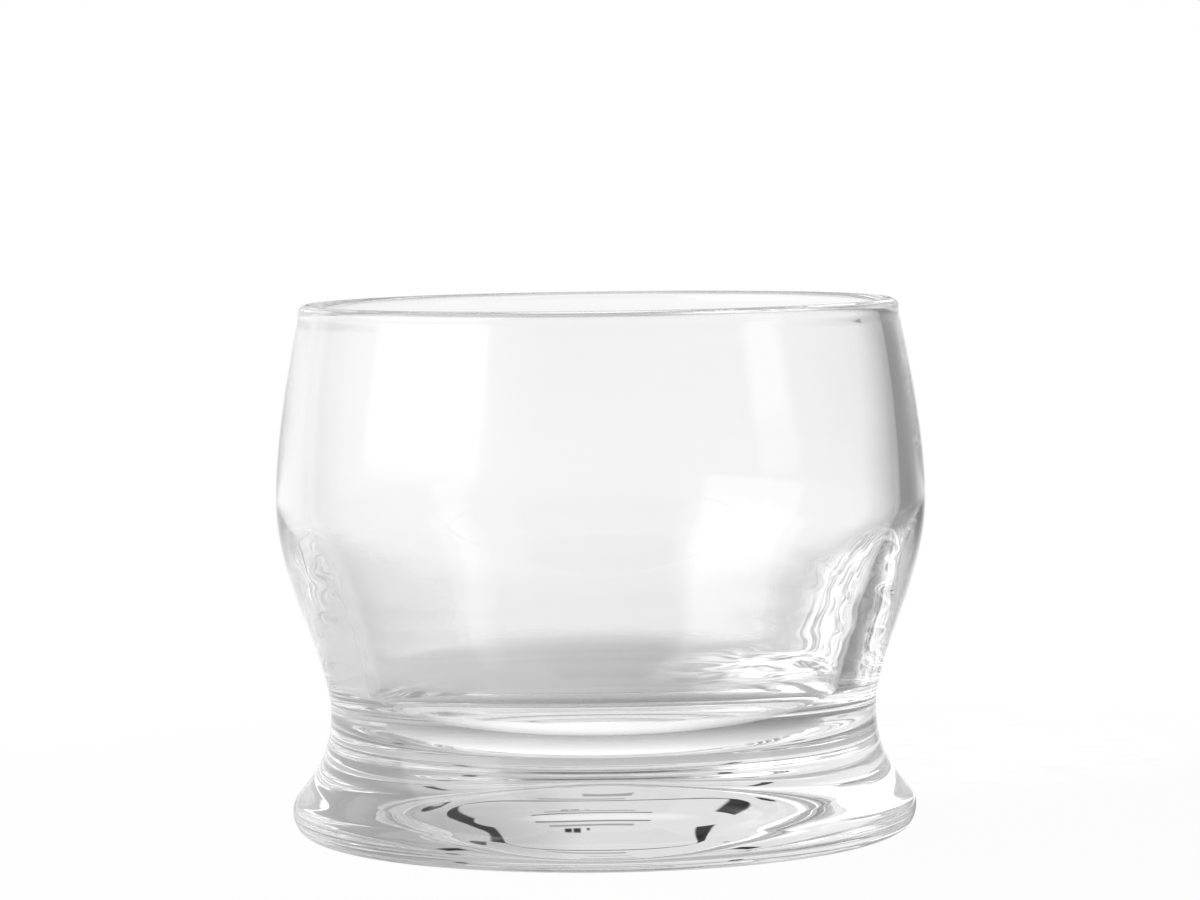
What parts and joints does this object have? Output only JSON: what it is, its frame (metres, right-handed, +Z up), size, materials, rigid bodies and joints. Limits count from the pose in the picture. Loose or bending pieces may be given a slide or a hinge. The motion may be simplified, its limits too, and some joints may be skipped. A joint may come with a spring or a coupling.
{
  "type": "liqueur glass",
  "caption": "Low clear liqueur glass with a full belly, a drawn-in waist and a heavy flared foot, for serving small drinks.",
  "frame": {"origin": "centre of the ring that the glass stands on, on its axis", "axes": "+Z up along the axis of the glass, from the foot towards the rim; X and Y are alike, because the glass is round"},
  "size_m": [0.057, 0.057, 0.0467],
  "materials": {
    "clear_glass": "fire-polished, clear and colourless"
  },
  "bodies": {
    "root": {"bowl": "clear_glass", "foot": "clear_glass"}
  },
  "joints": []
}
